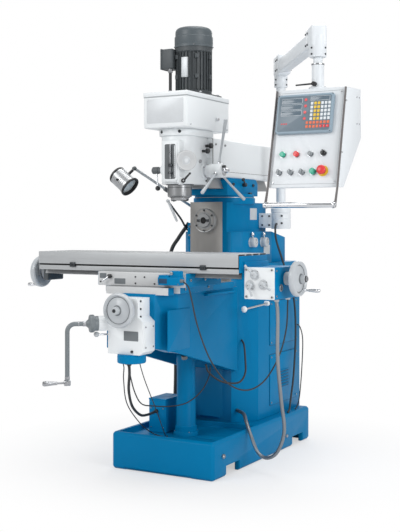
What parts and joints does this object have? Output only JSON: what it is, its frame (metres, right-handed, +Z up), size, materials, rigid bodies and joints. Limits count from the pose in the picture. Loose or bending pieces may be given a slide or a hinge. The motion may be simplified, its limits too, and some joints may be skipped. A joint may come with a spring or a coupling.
{
  "type": "vertical milling machine",
  "caption": "Knee-type milling machine with a vertical head on a sliding ram, a horizontal spindle in its column, a T-slotted table on a saddle, and a swinging control pendant.",
  "frame": {"origin": "on the floor, under the axis of the vertical spindle", "axes": "+Z up; -Y towards the operator; X along the table's travel, +X to the operator's right"},
  "size_m": [1.7259, 1.6695, 2.212],
  "materials": {
    "enamel_blue": "glossy enamel",
    "enamel_white": "satin enamel",
    "machined_silver": "satin",
    "ground_iron": "ground",
    "ground_steel": "ground",
    "motor_grey": "painted, satin",
    "black_plastic": "moulded",
    "black_rubber": "moulded",
    "cable_grey": "ribbed sleeve",
    "lamp_silver": "satin paint",
    "slate_plastic": "moulded",
    "green_plastic": "moulded",
    "red_plastic": "moulded",
    "grey_plastic": "moulded"
  },
  "bodies": {
    "frame": {"base": "enamel_blue", "column": "enamel_blue", "rear_cabinet": "enamel_blue", "screw_pedestal": "enamel_blue", "sump_box": "enamel_blue", "arm_bracket": "enamel_white", "conduit": "cable_grey"},
    "arbor": {"horizontal_spindle": "ground_steel"},
    "speed_lever_front": {"speed_lever_front": "machined_silver"},
    "speed_lever_rear": {"speed_lever_rear": "machined_silver"},
    "column_lever": {"column_lever": "machined_silver"},
    "lamp_arm": {"lamp_arm": "lamp_silver"},
    "lamp_shade": {"lamp_shade": "lamp_silver"},
    "ram_saddle": {"ram_saddle": "enamel_blue"},
    "ram": {"ram": "enamel_white", "head_body": "enamel_white", "head_cover": "enamel_white", "motor_body": "motor_grey", "motor_cowl": "motor_grey", "drive_belt": "black_rubber"},
    "motor_rotor": {"motor_rotor": "ground_steel"},
    "spindle_pulley": {"spindle_pulley": "ground_steel"},
    "capstan": {"capstan": "machined_silver"},
    "power_feed_lever": {"power_feed_lever": "black_plastic"},
    "quill_clamp_lever": {"quill_clamp_lever": "black_plastic"},
    "quill": {"quill": "ground_iron"},
    "vertical_spindle": {"vertical_spindle": "ground_steel"},
    "knee": {"knee": "enamel_blue", "gearbox": "enamel_white", "feed_motor": "enamel_blue", "knee_lead": "black_rubber"},
    "gearbox_lever": {"gearbox_lever": "ground_steel"},
    "elevating_screw": {"elevating_screw": "ground_steel"},
    "cross_handwheel": {"cross_handwheel": "machined_silver"},
    "knee_crank": {"knee_crank": "ground_steel"},
    "saddle": {"saddle": "machined_silver", "limit_switch": "enamel_blue", "loop_cable": "black_rubber"},
    "table": {"table": "ground_iron", "left_bracket": "black_plastic", "feed_box": "enamel_blue"},
    "table_screw": {"table_leadscrew": "ground_steel", "left_handwheel": "machined_silver", "right_handwheel": "machined_silver"},
    "feed_lever_1": {"feed_lever_1": "machined_silver"},
    "feed_lever_2": {"feed_lever_2": "machined_silver"},
    "feed_lever_3": {"feed_lever_3": "machined_silver"},
    "pendant_arm": {"pendant_arm": "enamel_white"},
    "panel": {"panel_box": "enamel_white", "display_unit": "slate_plastic", "panel_handle": "ground_steel"},
    "start_button": {"start_button": "green_plastic"},
    "stop_button": {"stop_button": "red_plastic"},
    "jog_button": {"jog_button": "grey_plastic"},
    "mode_selector": {"mode_selector": "black_plastic"},
    "feed_selector": {"feed_selector": "grey_plastic"},
    "spindle_selector": {"spindle_selector": "grey_plastic"},
    "light_selector": {"light_selector": "grey_plastic"},
    "coolant_button": {"coolant_button": "green_plastic"},
    "emergency_stop": {"emergency_stop": "red_plastic"}
  },
  "joints": [
    {"name": "ram_swivel", "type": "hinge", "parent": "frame", "child": "ram_saddle", "pos_m": [0, 0.47, 1.346], "axis": [0, 0, 1], "range_deg": [-5, 15]},
    {"name": "ram_slide", "type": "slide", "parent": "ram_saddle", "child": "ram", "axis": [0, 1, 0], "range_m": [-0.08, 0.14]},
    {"name": "motor_spin", "type": "hinge", "parent": "ram", "child": "motor_rotor", "pos_m": [0, 0.14, 1.852], "axis": [0, 0, 1], "continuous": true},
    {"name": "pulley_spin", "type": "hinge", "parent": "ram", "child": "spindle_pulley", "pos_m": [0, 0, 1.745], "axis": [0, 0, 1], "continuous": true},
    {"name": "quill_slide", "type": "slide", "parent": "ram", "child": "quill", "axis": [0, 0, 1], "range_m": [-0.12, 0]},
    {"name": "spindle_spin", "type": "hinge", "parent": "quill", "child": "vertical_spindle", "pos_m": [0, 0, 1.326], "axis": [0, 0, 1], "continuous": true},
    {"name": "capstan_turn", "type": "hinge", "parent": "ram", "child": "capstan", "pos_m": [0.1, 0.088, 1.473], "axis": [1, 0, 0], "range_deg": [-5, 275]},
    {"name": "power_feed_turn", "type": "hinge", "parent": "ram", "child": "power_feed_lever", "pos_m": [-0.1, 0, 1.478], "axis": [1, 0, 0], "range_deg": [-30, 30]},
    {"name": "quill_clamp_turn", "type": "hinge", "parent": "ram", "child": "quill_clamp_lever", "pos_m": [0.07952, -0.1017, 1.4185], "axis": [0.5556, -0.8315, 0], "range_deg": [-60, 30]},
    {"name": "arbor_spin", "type": "hinge", "parent": "frame", "child": "arbor", "pos_m": [0, 0.27, 1.227], "axis": [0, 1, 0], "continuous": true},
    {"name": "front_speed_turn", "type": "hinge", "parent": "frame", "child": "speed_lever_front", "pos_m": [0.17, 0.445, 1.112], "axis": [1, 0, 0], "range_deg": [-45, 45]},
    {"name": "rear_speed_turn", "type": "hinge", "parent": "frame", "child": "speed_lever_rear", "pos_m": [0.17, 0.58, 1.112], "axis": [1, 0, 0], "range_deg": [-45, 45]},
    {"name": "column_lever_turn", "type": "hinge", "parent": "frame", "child": "column_lever", "pos_m": [0.227, 0.5, 0.79], "axis": [1, 0, 0], "range_deg": [-25, 25]},
    {"name": "lamp_swing", "type": "hinge", "parent": "frame", "child": "lamp_arm", "pos_m": [-0.155, 0.45, 1.285], "axis": [1, 0, 0], "range_deg": [-25, 20]},
    {"name": "lamp_tilt", "type": "hinge", "parent": "lamp_arm", "child": "lamp_shade", "pos_m": [-0.3, 0.05, 1.495], "axis": [0, 1, 0], "range_deg": [-30, 20]},
    {"name": "arm_swivel", "type": "hinge", "parent": "frame", "child": "pendant_arm", "pos_m": [0.25, 0.65, 1.25], "axis": [0, 0, 1], "range_deg": [-5, 50]},
    {"name": "panel_swivel", "type": "hinge", "parent": "pendant_arm", "child": "panel", "pos_m": [0.774, -0.082, 1.962], "axis": [0, 0, 1], "range_deg": [-30, 30]},
    {"name": "knee_crank_turn", "type": "hinge", "parent": "knee", "child": "knee_crank", "pos_m": [-0.06, -0.47, 0.755], "axis": [0.7071, 0.7071, 0], "range_deg": [-20170, 14410]},
    {"name": "knee_slide", "type": "slide", "parent": "frame", "child": "knee", "axis": [0, 0, 1], "range_m": [-0.14, 0.1], "deforming": ["knee_lead", "conduit"]},
    {"name": "elevating_screw_turn", "type": "hinge", "parent": "knee", "child": "elevating_screw", "pos_m": [0, 0.062, 0.3], "axis": [0, 0, 1], "range_deg": [-10085, 7205]},
    {"name": "gearbox_lever_turn", "type": "hinge", "parent": "knee", "child": "gearbox_lever", "pos_m": [-0.093, -0.455, 0.7], "axis": [1, 0, 0], "range_deg": [-12, 20]},
    {"name": "cross_wheel_turn", "type": "hinge", "parent": "knee", "child": "cross_handwheel", "pos_m": [0, -0.5, 0.82], "axis": [0, 1, 0], "range_deg": [-8650, 12970]},
    {"name": "saddle_slide", "type": "slide", "parent": "knee", "child": "saddle", "axis": [0, 1, 0], "range_m": [-0.12, 0.18]},
    {"name": "table_screw_turn", "type": "hinge", "parent": "table", "child": "table_screw", "pos_m": [0, -0.185, 0.965], "axis": [1, 0, 0], "range_deg": [-17290, 21610]},
    {"name": "table_slide", "type": "slide", "parent": "saddle", "child": "table", "axis": [1, 0, 0], "range_m": [-0.24, 0.3], "deforming": ["loop_cable"]},
    {"name": "feed_lever_1_turn", "type": "hinge", "parent": "table", "child": "feed_lever_1", "pos_m": [0.563, -0.298, 0.983], "axis": [0, 1, 0], "range_deg": [-30, 30]},
    {"name": "feed_lever_2_turn", "type": "hinge", "parent": "table", "child": "feed_lever_2", "pos_m": [0.54, -0.298, 0.936], "axis": [0, 1, 0], "range_deg": [-30, 30]},
    {"name": "feed_lever_3_turn", "type": "hinge", "parent": "table", "child": "feed_lever_3", "pos_m": [0.605, -0.298, 0.94], "axis": [0, 1, 0], "range_deg": [-30, 30]},
    {"name": "start_button_press", "type": "slide", "parent": "panel", "child": "start_button", "axis": [0, 0.9755, -0.2202], "range_m": [0, 0.003], "stiffness_N_per_m": 500, "springref_m": -0.002},
    {"name": "stop_button_press", "type": "slide", "parent": "panel", "child": "stop_button", "axis": [0, 0.9755, -0.2202], "range_m": [0, 0.003], "stiffness_N_per_m": 500, "springref_m": -0.002},
    {"name": "jog_button_press", "type": "slide", "parent": "panel", "child": "jog_button", "axis": [0, 0.9755, -0.2202], "range_m": [0, 0.003], "stiffness_N_per_m": 500, "springref_m": -0.002},
    {"name": "coolant_button_press", "type": "slide", "parent": "panel", "child": "coolant_button", "axis": [0, 0.9755, -0.2202], "range_m": [0, 0.003], "stiffness_N_per_m": 500, "springref_m": -0.002},
    {"name": "emergency_stop_press", "type": "slide", "parent": "panel", "child": "emergency_stop", "axis": [0, 0.9755, -0.2202], "range_m": [0, 0.004], "stiffness_N_per_m": 1500, "springref_m": -0.002},
    {"name": "mode_selector_turn", "type": "hinge", "parent": "panel", "child": "mode_selector", "pos_m": [0.857, -0.21628, 1.51939], "axis": [0, -0.9755, 0.2202], "range_deg": [-45, 45]},
    {"name": "feed_selector_turn", "type": "hinge", "parent": "panel", "child": "feed_selector", "pos_m": [0.652, -0.23477, 1.43745], "axis": [0, -0.9755, 0.2202], "range_deg": [-45, 45]},
    {"name": "spindle_selector_turn", "type": "hinge", "parent": "panel", "child": "spindle_selector", "pos_m": [0.707, -0.23477, 1.43745], "axis": [0, -0.9755, 0.2202], "range_deg": [-45, 45]},
    {"name": "light_selector_turn", "type": "hinge", "parent": "panel", "child": "light_selector", "pos_m": [0.762, -0.23477, 1.43745], "axis": [0, -0.9755, 0.2202], "range_deg": [-45, 45]}
  ],
  "couplings": [
    {"joint": "pulley_spin", "follows": "motor_spin", "ratio": 0.64516},
    {"joint": "spindle_spin", "follows": "motor_spin", "ratio": 0.64516},
    {"joint": "capstan_turn", "follows": "quill_slide", "rad_per_m": -39.216},
    {"joint": "knee_crank_turn", "follows": "knee_slide", "rad_per_m": 2513.3},
    {"joint": "elevating_screw_turn", "follows": "knee_slide", "rad_per_m": 1256.6},
    {"joint": "cross_wheel_turn", "follows": "saddle_slide", "rad_per_m": 1256.6},
    {"joint": "table_screw_turn", "follows": "table_slide", "rad_per_m": 1256.6}
  ]
}
